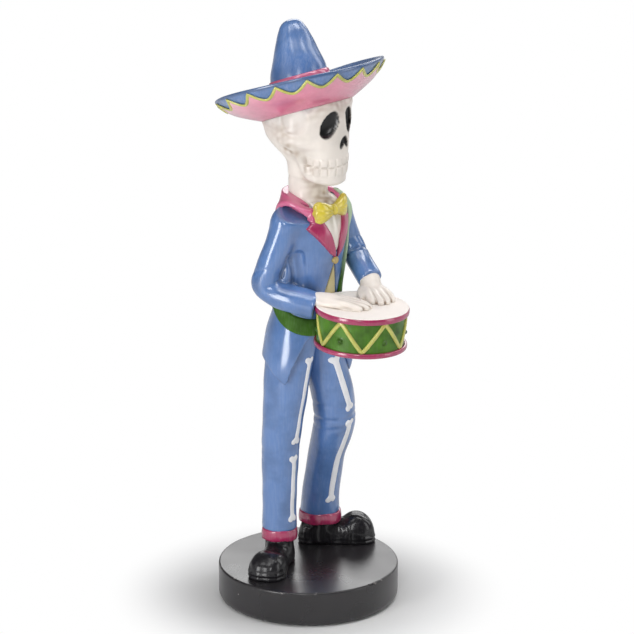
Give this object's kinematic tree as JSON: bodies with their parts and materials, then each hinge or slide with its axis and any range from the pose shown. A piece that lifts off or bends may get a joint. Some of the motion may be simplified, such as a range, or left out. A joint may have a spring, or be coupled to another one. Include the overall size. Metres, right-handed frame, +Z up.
{
  "type": "skeleton drummer figurine",
  "caption": "Painted resin skeleton musician in a wide-brimmed hat and tailcoat, standing on a round base with hands resting on a laced drum.",
  "frame": {"origin": "centre of the round base's underside, on the surface it stands on", "axes": "+Z up, -Y the way the figure faces, +X towards the figure's left hand"},
  "size_m": [0.0713, 0.083, 0.2356],
  "materials": {
    "blue_paint": "brushed blue paint under gloss varnish on cast resin",
    "pink_paint": "rose pink paint under gloss varnish on cast resin",
    "green_paint": "green paint under gloss varnish on cast resin",
    "yellow_paint": "yellow paint under gloss varnish on cast resin",
    "bone_paint": "ivory paint with a brown wash under gloss varnish",
    "cream_paint": "cream paint under gloss varnish on cast resin",
    "black_gloss_paint": "black paint under gloss varnish on cast resin",
    "black_satin_paint": "satin black paint on cast resin, lightly scuffed",
    "base_felt": "black felt pad",
    "gold_paint": "gold paint under gloss varnish on cast resin",
    "steel_rod": "drawn steel rod, hidden inside"
  },
  "bodies": {
    "root": {"coat_body": "blue_paint", "right_trouser_leg": "blue_paint", "left_trouser_leg": "blue_paint", "right_sleeve": "blue_paint", "left_sleeve": "blue_paint", "hat_brim": "blue_paint", "hat_crown": "blue_paint", "right_trouser_hem": "pink_paint", "left_trouser_hem": "pink_paint", "right_lapel": "pink_paint", "left_lapel": "pink_paint", "coat_collar": "pink_paint", "hat_band": "pink_paint", "brim_lining": "pink_paint", "drum_top_hoop": "pink_paint", "drum_bottom_hoop": "pink_paint", "drum_strap_front": "green_paint", "drum_sling_back": "green_paint", "drum_shell": "green_paint", "bow_tie_right": "yellow_paint", "bow_tie_left": "yellow_paint", "bow_tie_knot": "yellow_paint", "brim_cord": "yellow_paint", "drum_lacing": "yellow_paint", "right_thigh_bone": "bone_paint", "right_shin_bone": "bone_paint", "left_thigh_bone": "bone_paint", "left_shin_bone": "bone_paint", "neck": "bone_paint", "skull": "bone_paint", "lower_jaw": "bone_paint", "right_hand": "bone_paint", "left_hand": "bone_paint", "shirt_front": "cream_paint", "waistcoat_point": "cream_paint", "drum_top_head": "cream_paint", "drum_bottom_head": "cream_paint", "right_shoe": "black_gloss_paint", "left_shoe": "black_gloss_paint", "base_disc": "black_satin_paint", "base_felt": "base_felt", "coat_button": "gold_paint", "right_leg_rod": "steel_rod", "left_leg_rod": "steel_rod", "drum_pin": "steel_rod", "neck_pin": "steel_rod"}
  },
  "joints": []
}
